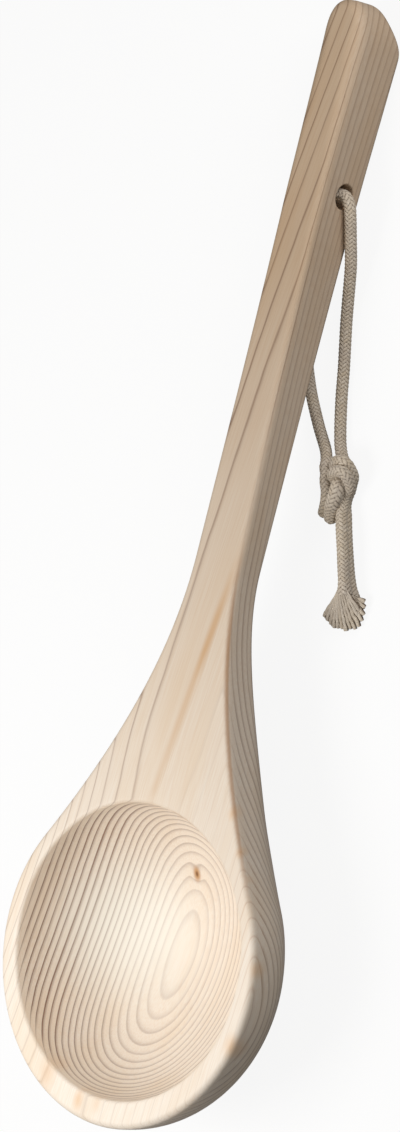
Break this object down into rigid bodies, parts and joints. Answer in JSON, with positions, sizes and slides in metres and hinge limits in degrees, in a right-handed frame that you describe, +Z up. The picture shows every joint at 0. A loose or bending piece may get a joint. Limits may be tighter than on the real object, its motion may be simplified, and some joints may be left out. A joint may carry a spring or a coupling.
{
  "type": "sauna ladle",
  "caption": "Carved one-piece wooden sauna ladle with a round bowl, a flaring neck, a straight handle and a knotted cord loop to hang it by.",
  "frame": {"origin": "bottom centre of the carved body's box, on the table that the ladle lies on, measured without the cord", "axes": "+Z up out of the table, +Y along the ladle from the bowl toward the handle's end, +X to the right seen from above with the handle pointing away"},
  "size_m": [0.1184, 0.4006, 0.0504],
  "materials": {
    "pale_softwood": "sanded, untreated slow-grown softwood with fine growth rings",
    "undyed_cotton": "matt braided cotton, undyed"
  },
  "bodies": {
    "ladle": {"ladle_body": "pale_softwood"},
    "hanging_loop": {"cord_right_strand": "undyed_cotton", "cord_left_strand": "undyed_cotton", "cord_knot": "undyed_cotton", "cord_tail_near": "undyed_cotton", "cord_tail_far": "undyed_cotton", "frayed_end_near": "undyed_cotton", "frayed_end_far": "undyed_cotton"}
  },
  "joints": [
    {"name": "loop_swing", "type": "hinge", "parent": "ladle", "child": "hanging_loop", "pos_m": [0, 0.13308, 0.01507], "axis": [1, 0, 0], "range_deg": [-7, 138]}
  ]
}
